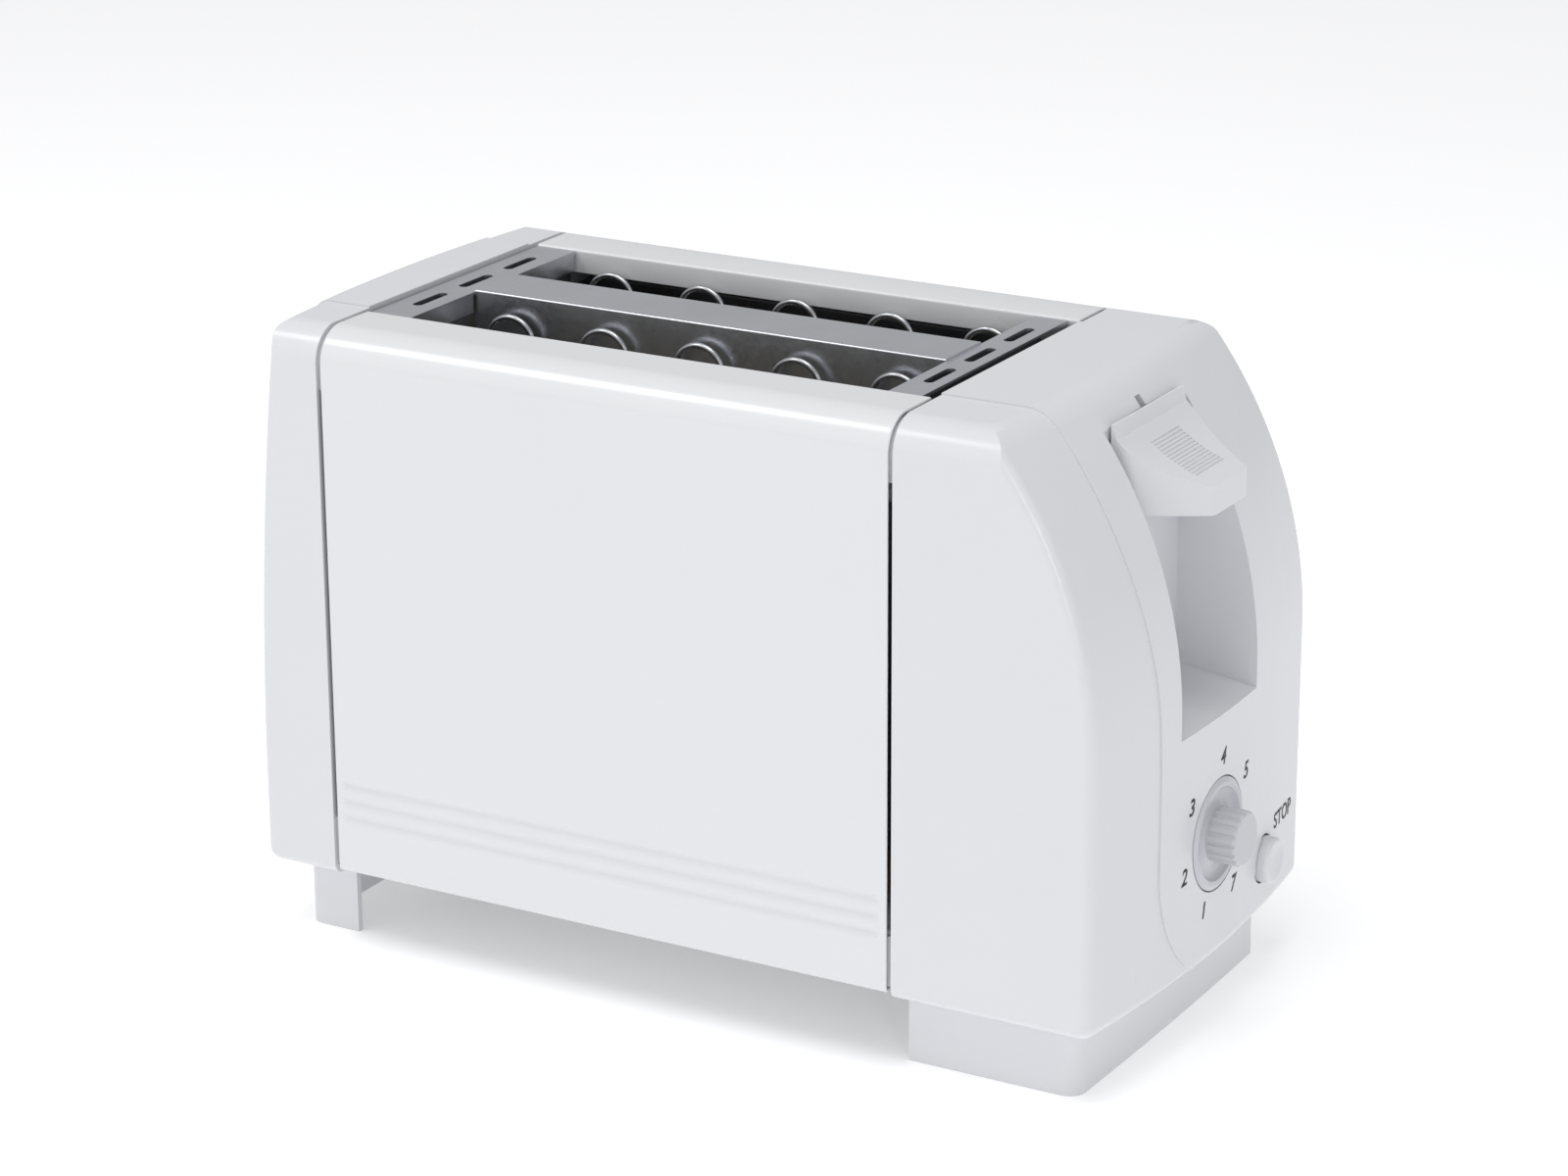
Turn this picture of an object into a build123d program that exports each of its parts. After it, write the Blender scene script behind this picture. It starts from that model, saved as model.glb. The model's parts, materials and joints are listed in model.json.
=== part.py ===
from build123d import *
import math
import os

os.makedirs("parts", exist_ok=True)

# Two-slice pop-up toaster, in millimetres.  X runs along the toaster with the lever end at +X,
# Y runs across it with the front panel at -Y, and Z is up from the table.

# ---------------------------------------------------------------- overall sizes
overall_height = 182.0      # table to the top of the raised band on the end caps
body_width = 134.0          # across the two side panels
panel_length = 176.8        # length of a side panel
left_cap_reach = 30.0       # from the panel to the middle of the plain end
right_cap_reach = 65.0      # from the panel to the middle of the control end
dial_stand_out = 8.2        # how far the dial stands out of the control end
base_height = 21.0          # height of the two bases under the caps

overall_length = left_cap_reach + panel_length + right_cap_reach + dial_stand_out
left_face = -overall_length / 2
panel_left = left_face + left_cap_reach
panel_right = panel_left + panel_length
right_face = panel_right + right_cap_reach

# ---------------------------------------------------------------- shells and sheet
cap_wall = 2.5              # moulded wall of the end caps
base_wall = 2.0             # moulded wall of the bases
panel_sheet = 0.8           # painted steel of the side panels
frame_sheet = 0.6           # bare steel of the inner frame
band_step = 0.5             # how far the raised band stands out of a cap
cap_gap = 1.4               # open joint between a panel and a cap
top_round = 10.0            # rounding along the top edges of panels and caps
edge_round = 3.5            # rounding between a cap's side and its end face
foot_round = 4.5            # rounding along a cap's bottom edge
slip = 0.75                 # clearance where a cap's lip tucks behind a panel
seat = 0.3                  # clearance round a part dropped into an opening

body_top = overall_height - band_step
half_width = body_width / 2

# Each end cap: side is its direction along X, bulge is how far its face bows out in plan,
# lean_radius and lean_from are the arc that leans the face back and the height where it starts.
right_end = {
    "side": 1,
    "face": right_face,
    "inner": panel_right + cap_gap,
    "bulge": 4.8,
    "lean_radius": 130.0,
    "lean_from": 97.0,
    "crown": 12.0,
}
left_end = {
    "side": -1,
    "face": left_face,
    "inner": panel_left - cap_gap,
    "bulge": 4.2,
    "lean_radius": 1080.0,
    "lean_from": 44.0,
    "crown": 5.0,
}

# ---------------------------------------------------------------- top opening and slots
opening_half = 43.0         # half width of the opening between the two panels
hem_depth = 7.0             # how far a panel's edge turns down at the opening
left_strip = 13.0           # steel strip between the slots and the plain end
right_strip = 10.0          # steel strip between the slots and the control end
left_plate_gap = 0.5
right_plate_gap = 3.3
divider_half = 10.2         # half width of the strip between the slots
plate_drop = 0.5            # the top plate lies this much below the panels
plate_sheet = 0.8
vent_length = 15.0
vent_width = 3.0
vent_pitch = 23.0

plate_left = panel_left + left_plate_gap
plate_right = panel_right - right_plate_gap
slot_left = plate_left + left_strip
slot_right = plate_right - right_strip
slot_length = slot_right - slot_left
slot_mid = (slot_left + slot_right) / 2
plate_top = body_top - plate_drop
plate_low = plate_top - plate_sheet
slot_y = (divider_half + opening_half) / 2

# ---------------------------------------------------------------- inner frame
bulkhead_offset = 1.6       # from the end of a slot to the bulkhead
bulkhead_inset = 3.4        # from a bulkhead's edge to the outside of a side panel
bulkhead_half = half_width - bulkhead_inset
floor_low = base_height + cap_wall          # underside of the bottom plate
floor_sheet = 0.8
floor_top = floor_low + floor_sheet
right_bulkhead_x = slot_right + bulkhead_offset
left_bulkhead_x = slot_left - bulkhead_offset - frame_sheet
shield_inset = 6.0          # from a heat shield to the outside of its side panel
shield_y = half_width - shield_inset
shield_sheet = 0.5
shield_flange = 6.0
card_sheet = 0.5
outer_card_y = opening_half + 6.0
card_low = 52.0
card_high = body_top - 13.5
ribbon_pitch = 9.0
ribbon_count = 9
ribbon_height = 1.2
ribbon_sheet = 0.2

# ---------------------------------------------------------------- bread guards
guard_wire = 0.8            # radius of a guard wire
guard_rod = 1.0             # radius of the rod that a guard turns on
guard_rod_z = 48.0
guard_top = body_top - 5.5
guard_half_gap = slot_y - divider_half - 2.8
hairpin_count = 5
running = 0.05              # radial clearance of a turning fit

# ---------------------------------------------------------------- lift mechanism
lever_travel = 53.0
rack_z = 104.0              # underside of a bread rack's blade, with the lever up
rack_depth = 8.0
rack_sheet = 1.0
rack_bar_length = 18.0
rack_bar_count = 9
carriage_x = slot_right + 10.5
carriage_sheet = 1.2
carriage_low = 96.0
carriage_high = 114.0
rod_radius = 2.5
rod_x = carriage_x + 9.0
rod_y = 14.0
shelf_low = 26.0
shelf_sheet = 1.2
bush_radius = 5.0
bush_height = 15.0
spring_radius = 4.2
spring_wire = 0.4
spring_turns = 13

# ---------------------------------------------------------------- lever recess and knob
recess_half = 24.0
recess_back = right_face - 25.0
recess_floor_back = 95.2
recess_floor_front = 91.6
recess_wall = 2.0
slit_width = 3.0
slit_top = 176.3
arm_sheet = 2.0
arm_x = recess_back - 16.0
arm_width = 9.0
knob_low = 150.2
knob_high = 174.1
knob_gap = 1.0
knob_depth = 24.9
knob_back_half = 21.4
knob_nose_half = 10.4
knob_nose_z = 158.0

# ---------------------------------------------------------------- controls
dial_z = 57.7
dial_disc = 15.7
dial_knob = 7.65
flute_count = 18
stop_y = 34.8
stop_z = 37.8
stop_radius = 6.5
stop_stand_out = 4.0
stop_travel = 1.5
hole_clearance = 0.4
board_x = right_face - 23.8
board_sheet = 1.6
board_half = 46.0
board_low = 27.0
board_high = 86.5
board_posts = [(-42.0, 32.0), (-42.0, 81.0), (42.0, 81.0), (19.0, 31.5)]

# ---------------------------------------------------------------- screws
screw_shank = 1.45
screw_pilot = 1.5
screw_hole = 1.8
screw_head = 3.0
screw_head_height = 2.0
boss_radius = 4.0
boss_inset = 10.5           # from a cap's screw boss to the outside of its wall
cap_boss_y = half_width - boss_inset
cap_boss_z = [40.0, 160.0]


# ================================================================ shared shapes
def across(x):
    """Plane that looks along the toaster, with Y across and Z up."""
    return Plane.YZ.offset(x)


def bow(end, y):
    """How far an end face has fallen back at y from its middle."""
    plan_radius = (half_width**2 + end["bulge"] ** 2) / (2 * end["bulge"])
    return plan_radius - math.sqrt(plan_radius**2 - y**2)


def body_section(x, side_inset, low, high, rounding):
    """Outline of the body seen along its length, on the plane at x."""
    half = half_width - side_inset
    with BuildSketch(across(x)) as section:
        with BuildLine():
            Polyline((-half, low), (half, low), (half, high), (-half, high), close=True)
        make_face()
        if rounding > 0:
            fillet(section.vertices().group_by(Axis.Y)[-1], rounding)
    return section.sketch


def band_section(x):
    """Outline of the raised band: wide over the top, narrower below, and rounded in at the foot."""
    top_half = 40.5
    face_half = 34.0
    foot_half = 10.0
    bend_z = base_height + 37.0
    run = face_half - foot_half
    foot_radius = (run**2 + (bend_z - base_height) ** 2) / (2 * run)
    foot_sweep = math.degrees(math.asin((bend_z - base_height) / foot_radius))
    with BuildSketch(across(x)) as section:
        with BuildLine():
            Line((0, overall_height), (top_half, overall_height))
            Line((top_half, overall_height), (top_half, overall_height - 10))
            Spline(
                (top_half, overall_height - 10),
                (face_half, bend_z + 20),
                tangents=((0, -1), (0, -1)),
            )
            Line((face_half, bend_z + 20), (face_half, bend_z))
            foot = CenterArc((face_half - foot_radius, bend_z), foot_radius, 0, -foot_sweep)
            Line(foot @ 1, (0, base_height))
            mirror(about=Plane.YZ)
        make_face()
    return section.sketch


def corner_section(x, inset):
    """The two corners that the rounding along the top edges takes off, inset from the outside."""
    overshoot = 0.02
    centre_y = half_width - top_round + overshoot
    centre_z = body_top - top_round + overshoot
    margin = 5.0
    with BuildSketch(across(x)) as section:
        with BuildLine():
            arc = CenterArc((centre_y, centre_z), top_round - inset, 0, 90)
            Polyline(
                arc @ 1,
                (centre_y, body_top + margin),
                (half_width + margin, body_top + margin),
                (half_width + margin, centre_z),
                arc @ 0,
            )
        make_face()
        mirror(about=Plane.YZ)
    return section.sketch


def end_block(end, inset):
    """Block with a cap's end face, bowed in plan by its sweep and leaning back by its profile."""
    plan_radius = (half_width**2 + end["bulge"] ** 2) / (2 * end["bulge"])
    axis_x = end["face"] - end["side"] * plan_radius
    reach = plan_radius - inset
    low = base_height + max(0.0, inset - band_step)
    high = overall_height - inset
    lean = end["lean_radius"] - inset
    sweep = math.degrees(math.asin((high - end["lean_from"]) / lean))
    side = end["side"]
    plane = Plane(origin=(axis_x, 0, 0), x_dir=(0, -side, 0), z_dir=(-side, 0, 0))
    with BuildPart() as block:
        with BuildSketch(plane) as profile:
            with BuildLine():
                Line((0, low), (reach, low))
                Line((reach, low), (reach, end["lean_from"]))
                arc = CenterArc((reach - lean, end["lean_from"]), lean, 0, sweep)
                Polyline(arc @ 1, (0, high), (0, low))
            make_face()
            crest = profile.vertices().sort_by_distance(arc @ 1)[0]
            fillet(crest, end["crown"] - inset)
            heel = profile.vertices().sort_by_distance((reach, low))[0]
            fillet(heel, foot_round - inset)
        revolve(axis=Axis((axis_x, 0, 0), (0, 0, 1)), revolution_arc=180)
    return block.part


def cap_block(end, side_inset, end_inset):
    """Solid of a cap, with its sides and its end moved in, and its end edges still sharp."""
    block = end_block(end, end_inset)
    low = base_height + max(0.0, end_inset - band_step)
    high = overall_height - end_inset
    depth = end["side"] * (abs(end["face"] - end["inner"]) + 1)
    with BuildPart() as body:
        add(block)
        section = body_section(end["inner"], side_inset, low, high, 0)
        extrude(section, amount=depth, mode=Mode.INTERSECT)
    return body.part


def cap_outer(end):
    """Outside of a cap: rounded end edges, rounded top edges, and the raised band."""
    sharp = cap_block(end, 0, band_step)
    band_body = end_block(end, 0)
    depth = end["side"] * (abs(end["face"] - end["inner"]) + 1)
    with BuildPart() as band:
        add(band_body)
        extrude(band_section(end["inner"]), amount=depth, mode=Mode.INTERSECT)
    with BuildPart() as outer:
        add(sharp)
        rims = ShapeList()
        for face in (outer.faces().sort_by(Axis.Y)[0], outer.faces().sort_by(Axis.Y)[-1]):
            rims += [e for e in face.edges() if abs(e.center().X - end["inner"]) > 0.01]
        fillet(rims, edge_round)
        extrude(corner_section(end["inner"], 0), amount=depth, mode=Mode.SUBTRACT)
        add(band.part)
    return outer.part


def cap_cavity(end):
    """Hollow of a cap, one wall inside it, with its top edges rounded about the same centres."""
    depth = end["side"] * (abs(end["face"] - end["inner"]) + 1)
    with BuildPart() as cavity:
        add(cap_block(end, cap_wall, band_step + cap_wall))
        extrude(corner_section(end["inner"], cap_wall), amount=depth, mode=Mode.SUBTRACT)
    return cavity.part


def cap_lip(end):
    """Thin tongue of a cap that closes the joint behind the panels, above and below the gap."""
    low_gap = 38.5
    high_gap = 164.2
    tuck = 6.0
    root = 2.0
    lip_outer = panel_sheet + slip
    lip_inner = lip_outer + 1.6
    start = end["inner"] - end["side"] * tuck
    length = end["side"] * (tuck + root)
    low = floor_low + 0.6
    with BuildPart() as lip:
        extrude(
            body_section(start, lip_outer, low, body_top - lip_outer, top_round - lip_outer),
            amount=length,
        )
        extrude(
            body_section(start, lip_inner, low - 1, body_top - lip_inner, top_round - lip_inner),
            amount=length,
            mode=Mode.SUBTRACT,
        )
        with BuildSketch(across(start)):
            with Locations((0, (low_gap + high_gap) / 2)):
                Rectangle(body_width + 2, high_gap - low_gap)
            with Locations((0, overall_height / 2)):
                Rectangle(2 * (opening_half + 1.5), overall_height + 2)
        extrude(amount=length, mode=Mode.SUBTRACT)
    return lip.part


def screws(plane, points, length):
    """A set of pan-head screws, each pointing along the plane's normal from its head."""
    along = Axis(plane.origin, plane.z_dir)
    with BuildPart() as group:
        with BuildSketch(plane.offset(-screw_head_height)):
            with Locations(*points):
                Circle(screw_head)
        extrude(amount=screw_head_height)
        fillet(group.edges().group_by(along)[0], 0.6)
        with BuildSketch(plane):
            with Locations(*points):
                Circle(screw_shank)
        extrude(amount=length)
        with BuildSketch(plane.offset(-screw_head_height)):
            with Locations(*points):
                Rectangle(3.6, 0.8)
                Rectangle(0.8, 3.6)
        extrude(amount=1.0, mode=Mode.SUBTRACT)
    return group.part


# ================================================================ right end cap
cap_boss_points = [(y, z) for y in (-cap_boss_y, cap_boss_y) for z in cap_boss_z]
right_boss_start = right_bulkhead_x + frame_sheet
boss_depth = 26.0
rib_width = 2.0
right_base_left = right_end["inner"] + 0.4
right_base_length = 50.3
right_base_screws = [(right_base_left + 8.0, -44.0), (right_base_left + 8.0, 44.0)]
right_base_screws += [(right_base_left + 31.0, -44.0), (right_base_left + 31.0, 44.0)]
floor_boss_height = 6.0
board_face = board_x + board_sheet
post_short = 2.6            # a board post ends inside the end wall, this far behind its face
dial_hole = dial_disc + hole_clearance
stop_hole = stop_radius + hole_clearance + 0.2

right_outer = cap_outer(right_end)
right_cavity = cap_cavity(right_end)
right_lip = cap_lip(right_end)

with BuildPart() as pocket_wall:
    add(right_outer)
    with BuildSketch(Plane.XZ.offset(-(recess_half + recess_wall))):
        with BuildLine():
            Polyline(
                (recess_back - recess_wall, overall_height),
                (recess_back - recess_wall, recess_floor_back - recess_wall),
                (right_face + 1, recess_floor_front - recess_wall - 0.2),
                (right_face + 1, overall_height),
                close=True,
            )
        make_face()
    extrude(amount=2 * (recess_half + recess_wall), mode=Mode.INTERSECT)

with BuildPart() as right_posts:
    with BuildSketch(across(right_boss_start)):
        with Locations(*cap_boss_points):
            Circle(boss_radius)
    extrude(amount=boss_depth)
    with BuildSketch(across(right_end["inner"])):
        for y, z in cap_boss_points:
            with Locations((math.copysign(half_width - 5.0, y), z)):
                Rectangle(8.0, rib_width)
    extrude(amount=right_boss_start + boss_depth - right_end["inner"])
    with BuildSketch(Plane.XY.offset(base_height + 1)):
        with Locations(*right_base_screws):
            Circle(boss_radius)
    extrude(amount=cap_wall - 1 + floor_boss_height)
    with BuildSketch(across(board_face)):
        with Locations(*board_posts):
            Circle(3.0)
    extrude(amount=right_face - board_face - post_short)

with BuildPart() as right_cap:
    add(right_outer)
    add(right_cavity, mode=Mode.SUBTRACT)
    add(pocket_wall.part)
    add(right_posts.part)
    add(right_lip)
    with BuildSketch(Plane.XZ.offset(-recess_half)):
        with BuildLine():
            Polyline(
                (recess_back, overall_height + 1),
                (recess_back, recess_floor_back),
                (right_face + 1, recess_floor_front - 0.2),
                (right_face + 1, overall_height + 1),
                close=True,
            )
        make_face()
    extrude(amount=2 * recess_half, mode=Mode.SUBTRACT)
    with BuildSketch(across(recess_back - recess_wall - 1)):
        with BuildLine():
            Polyline(
                (-slit_width / 2, slit_top),
                (-slit_width / 2, carriage_low + 6.0),
                (slit_width / 2, carriage_low + 6.0),
                (slit_width / 2, slit_top),
                close=True,
            )
        make_face()
    extrude(amount=recess_wall + 3.2, mode=Mode.SUBTRACT)
    with BuildSketch(across(right_face - 12)):
        with Locations((0, dial_z)):
            Circle(dial_hole)
        with Locations((stop_y, stop_z)):
            Circle(stop_hole)
    extrude(amount=14, mode=Mode.SUBTRACT)
    with BuildSketch(across(right_boss_start - 1)):
        with Locations(*cap_boss_points):
            Circle(screw_pilot)
    extrude(amount=15, mode=Mode.SUBTRACT)
    with BuildSketch(Plane.XY.offset(base_height - 1)):
        with Locations(*right_base_screws):
            Circle(screw_pilot)
    extrude(amount=cap_wall + floor_boss_height, mode=Mode.SUBTRACT)
    with BuildSketch(across(board_face - 1)):
        with Locations(*board_posts):
            Circle(screw_pilot)
    extrude(amount=9, mode=Mode.SUBTRACT)
right_cap.part.label = "right_end_cap"
export_step(right_cap.part, "parts/right_end_cap.step")


# ================================================================ left end cap
left_boss_start = left_bulkhead_x
left_boss_depth = 20.0
left_base_right = left_end["inner"] + 0.4
left_base_length = 17.5
left_base_screws = [(left_base_right - 8.0, -44.0), (left_base_right - 8.0, 44.0)]
gland_y = 40.0
gland_z = 36.0
gland_neck = 5.9
gland_bore = 3.3

left_outer = cap_outer(left_end)
left_cavity = cap_cavity(left_end)
left_lip = cap_lip(left_end)

with BuildPart() as left_posts:
    with BuildSketch(across(left_boss_start)):
        with Locations(*cap_boss_points):
            Circle(boss_radius)
    extrude(amount=-left_boss_depth)
    with BuildSketch(across(left_end["inner"])):
        for y, z in cap_boss_points:
            with Locations((math.copysign(half_width - 5.0, y), z)):
                Rectangle(8.0, rib_width)
    extrude(amount=left_boss_start - left_boss_depth - left_end["inner"])
    with BuildSketch(Plane.XY.offset(base_height + 1)):
        with Locations(*left_base_screws):
            Circle(boss_radius)
    extrude(amount=cap_wall - 1 + floor_boss_height)

with BuildPart() as left_cap:
    add(left_outer)
    add(left_cavity, mode=Mode.SUBTRACT)
    add(left_posts.part)
    add(left_lip)
    with BuildSketch(across(left_face - 1)):
        with Locations((gland_y, gland_z)):
            Circle(gland_neck + 0.1)
    extrude(amount=12, mode=Mode.SUBTRACT)
    with BuildSketch(across(left_boss_start + 1)):
        with Locations(*cap_boss_points):
            Circle(screw_pilot)
    extrude(amount=-15, mode=Mode.SUBTRACT)
    with BuildSketch(Plane.XY.offset(base_height - 1)):
        with Locations(*left_base_screws):
            Circle(screw_pilot)
    extrude(amount=cap_wall + floor_boss_height, mode=Mode.SUBTRACT)
left_cap.part.label = "left_end_cap"
export_step(left_cap.part, "parts/left_end_cap.step")


# ================================================================ side panels
groove_z = [39.3, 44.2, 49.1]
groove_radius = 3.0
groove_depth = 0.6
panel_low = floor_low - panel_sheet
turn_in = 7.0
hem_start = 0.4             # the hem runs into the bend of the top this far down

for name, side in (("front", -1), ("rear", 1)):
    groove_axis = side * (half_width + groove_radius - groove_depth)
    groove_centres = [(groove_axis, z) for z in groove_z]
    outside = body_section(panel_left, 0, panel_low, body_top, top_round)
    inside = body_section(panel_left, panel_sheet, floor_low, body_top - panel_sheet,
                          top_round - panel_sheet)
    with BuildPart() as panel:
        extrude(outside, amount=panel_length)
        with BuildSketch(across(panel_left)):
            with Locations(*groove_centres):
                Circle(groove_radius)
        extrude(amount=panel_length, mode=Mode.SUBTRACT)
    with BuildPart() as hollow:
        extrude(inside, amount=panel_length)
        with BuildSketch(across(panel_left)):
            with Locations(*groove_centres):
                Circle(groove_radius + panel_sheet)
        extrude(amount=panel_length, mode=Mode.SUBTRACT)
    with BuildPart() as side_panel:
        add(panel.part)
        add(hollow.part, mode=Mode.SUBTRACT)
        with BuildSketch(across(panel_left)):
            with Locations((0, floor_low - panel_sheet / 2)):
                Rectangle(2 * (half_width - turn_in), 4 * panel_sheet)
            with Locations((-side * half_width, overall_height / 2)):
                Rectangle(body_width, overall_height + 4)
            with Locations((0, overall_height / 2)):
                Rectangle(2 * opening_half, overall_height)
        extrude(amount=panel_length, mode=Mode.SUBTRACT)
        with BuildSketch(across(panel_left)):
            hem_middle = body_top - (hem_depth + hem_start) / 2
            with Locations((side * (opening_half + panel_sheet / 2), hem_middle)):
                Rectangle(panel_sheet, hem_depth - hem_start)
        extrude(amount=panel_length)
    side_panel.part.label = f"{name}_side_panel"
    export_step(side_panel.part, f"parts/{name}_side_panel.step")


# ================================================================ bases under the caps
base_inset = 9.6            # from a base's side to the outside of the cap above it
base_half = half_width - base_inset
base_corner = 5.0
base_bulge = 0.8


def base_shape(inner_x, length, bulge, side):
    """Skirt open towards the middle of the toaster, with a roof that the cap sits on."""

    def outline(inset, start):
        half = base_half - inset
        end_x = inner_x + side * (length - inset)
        with BuildSketch(Plane.XY) as plan:
            with BuildLine():
                Polyline((end_x, -half), (start, -half), (start, half), (end_x, half))
                ThreePointArc((end_x, half), (end_x + side * bulge, 0), (end_x, -half))
            make_face()
            outer_corners = plan.vertices().group_by(Axis.X)
            fillet(outer_corners[-1] if side > 0 else outer_corners[0], base_corner - inset)
        return plan.sketch

    with BuildPart() as skirt:
        extrude(outline(0, inner_x), amount=base_height)
        extrude(
            outline(base_wall, inner_x - side),
            amount=base_height - base_wall,
            mode=Mode.SUBTRACT,
        )
    return skirt.part


right_base_shape = base_shape(right_base_left, right_base_length, base_bulge, 1)
left_base_shape = base_shape(left_base_right, left_base_length, base_bulge, -1)

for name, shape, points in (
    ("right", right_base_shape, right_base_screws),
    ("left", left_base_shape, left_base_screws),
):
    with BuildPart() as base:
        add(shape)
        with Locations(*[(x, y, base_height) for x, y in points]):
            Hole(screw_hole)
    base.part.label = f"{name}_base"
    export_step(base.part, f"parts/{name}_base.step")

    base_plane = Plane(origin=(0, 0, base_height - base_wall), z_dir=(0, 0, 1))
    base_screws = screws(base_plane, points, base_wall + cap_wall + 4.0)
    base_screws.label = f"{name}_base_screws"
    export_step(base_screws, f"parts/{name}_base_screws.step")


# ================================================================ bottom plate and crumb door
door_left = slot_left + 4.0
door_right = slot_right - 4.0
door_front = -40.0
hinge_y = 43.0
door_gap = 0.6
pin_radius = 1.0
knuckle_radius = 2.0
knuckle_length = 12.0
pin_length = 136.0
pin_z = floor_low + floor_sheet - knuckle_radius
door_mid = (door_left + door_right) / 2
knuckle_reach = 42.0        # from the middle of the door to each of its knuckles
ear_notch = 58.0 - knuckle_length
notch_reach = 29.0          # from the middle of the door to each gap between the plate's ears
knuckle_spots = [door_mid - knuckle_reach, door_mid + knuckle_reach]
ear_fit = 0.03

with BuildPart() as bottom_plate:
    with BuildSketch(Plane.XY.offset(floor_low)):
        with Locations((slot_mid, 0)):
            Rectangle(right_bulkhead_x + frame_sheet - left_bulkhead_x, 2 * (half_width - 1.5))
    extrude(amount=floor_sheet)
    with BuildSketch(Plane.XY.offset(floor_low)):
        with Locations((door_mid, (door_front + hinge_y) / 2)):
            Rectangle(door_right - door_left, hinge_y - door_front)
    extrude(amount=floor_sheet, mode=Mode.SUBTRACT)
    with BuildSketch(Plane.YZ.offset(door_mid)):
        with Locations((hinge_y, pin_z)):
            Circle(knuckle_radius)
        with Locations((hinge_y + knuckle_radius, pin_z + knuckle_radius / 2)):
            Rectangle(2 * knuckle_radius, knuckle_radius)
    extrude(amount=pin_length / 2, both=True)
    with BuildSketch(Plane.YZ.offset(door_mid)):
        with Locations((hinge_y, pin_z)):
            Circle(pin_radius + ear_fit)
    extrude(amount=pin_length / 2, both=True, mode=Mode.SUBTRACT)
    gaps = [door_mid - notch_reach, door_mid + notch_reach]
    with BuildSketch(Plane.XZ.offset(-(hinge_y + knuckle_radius + door_gap))):
        with Locations(*[(x, pin_z) for x in gaps]):
            Rectangle(ear_notch, 2 * knuckle_radius + 2.0)
    extrude(amount=2 * (knuckle_radius + door_gap), mode=Mode.SUBTRACT)
bottom_plate.part.label = "bottom_plate"
export_step(bottom_plate.part, "parts/bottom_plate.step")

with BuildPart() as door_pin:
    with BuildSketch(Plane.YZ.offset(door_mid - pin_length / 2)):
        with Locations((hinge_y, pin_z)):
            Circle(pin_radius)
    extrude(amount=pin_length)
door_pin.part.label = "crumb_door_pin"
export_step(door_pin.part, "parts/crumb_door_pin.step")

with BuildPart() as crumb_door:
    with BuildSketch(Plane.XY.offset(floor_low)):
        with Locations((door_mid, (door_front + hinge_y - knuckle_radius) / 2)):
            Rectangle(
                door_right - door_left - 2 * door_gap,
                hinge_y - knuckle_radius - door_front - 2 * door_gap,
            )
    extrude(amount=floor_sheet)
    with BuildSketch(Plane.XY.offset(floor_low)):
        with Locations(*[(x, hinge_y - knuckle_radius) for x in knuckle_spots]):
            Rectangle(knuckle_length, 2 * knuckle_radius)
    extrude(amount=floor_sheet)
    for x in knuckle_spots:
        with BuildSketch(Plane.YZ.offset(x)):
            with Locations((hinge_y, pin_z)):
                Circle(knuckle_radius)
        extrude(amount=knuckle_length / 2, both=True)
    with BuildSketch(Plane.YZ.offset(door_left - 5)):
        with Locations((hinge_y, pin_z)):
            Circle(pin_radius + running)
    extrude(amount=door_right - door_left + 10, mode=Mode.SUBTRACT)
    with BuildSketch(Plane.XY.offset(floor_low - 0.4)):
        with Locations((door_mid, (door_front + hinge_y) / 2)):
            with GridLocations(34.0, 0, 4, 1):
                RectangleRounded(22.0, 50.0, 4.0)
    extrude(amount=0.4)
crumb_door.part.label = "crumb_door"
export_step(crumb_door.part, "parts/crumb_door.step")


# ================================================================ top plate and divider
with BuildPart() as top_plate:
    with BuildSketch(Plane.XY.offset(plate_low)):
        with Locations(((plate_left + plate_right) / 2, 0)):
            Rectangle(plate_right - plate_left, 2 * (opening_half - seat))
        with Locations((slot_mid, 0)):
            Rectangle(slot_length, 2 * opening_half, mode=Mode.SUBTRACT)
            Rectangle(slot_length + 1, 2 * divider_half - 4)
        for x in (plate_left + left_strip / 2, plate_right - right_strip / 2):
            with Locations((x, 0)):
                with GridLocations(0, vent_pitch, 1, 3):
                    SlotOverall(vent_length, vent_width, rotation=90, mode=Mode.SUBTRACT)
    extrude(amount=plate_sheet)
    with BuildSketch(Plane.XY.offset(plate_low)):
        for x in (slot_left - frame_sheet / 2, slot_right + frame_sheet / 2):
            with Locations((x, slot_y), (x, -slot_y)):
                Rectangle(frame_sheet, 2 * (slot_y - divider_half) - 2.0)
    extrude(amount=-5.0)
top_plate.part.label = "top_plate"
export_step(top_plate.part, "parts/top_plate.step")

divider_depth = 12.0
with BuildPart() as divider:
    with BuildSketch(across(slot_left)):
        with Locations((0, plate_top - divider_depth / 2 + frame_sheet / 2)):
            Rectangle(2 * divider_half, divider_depth + frame_sheet)
        with Locations((0, plate_top - divider_depth / 2)):
            Rectangle(2 * (divider_half - frame_sheet), divider_depth, mode=Mode.SUBTRACT)
    extrude(amount=slot_length)
    fillet(divider.edges().filter_by(Axis.X).group_by(Axis.Z)[-1], 0.5)
divider.part.label = "slot_divider"
export_step(divider.part, "parts/slot_divider.step")


# ================================================================ bulkheads
blade_slot = rack_sheet + 1.4
blade_slot_low = rack_z - lever_travel - 2.0
blade_slot_high = rack_z + rack_depth + 2.0
guard_ys = [slot_y - guard_half_gap, slot_y + guard_half_gap]
guard_ys += [-y for y in guard_ys]
shoulder_z = body_top - 11.0

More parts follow.
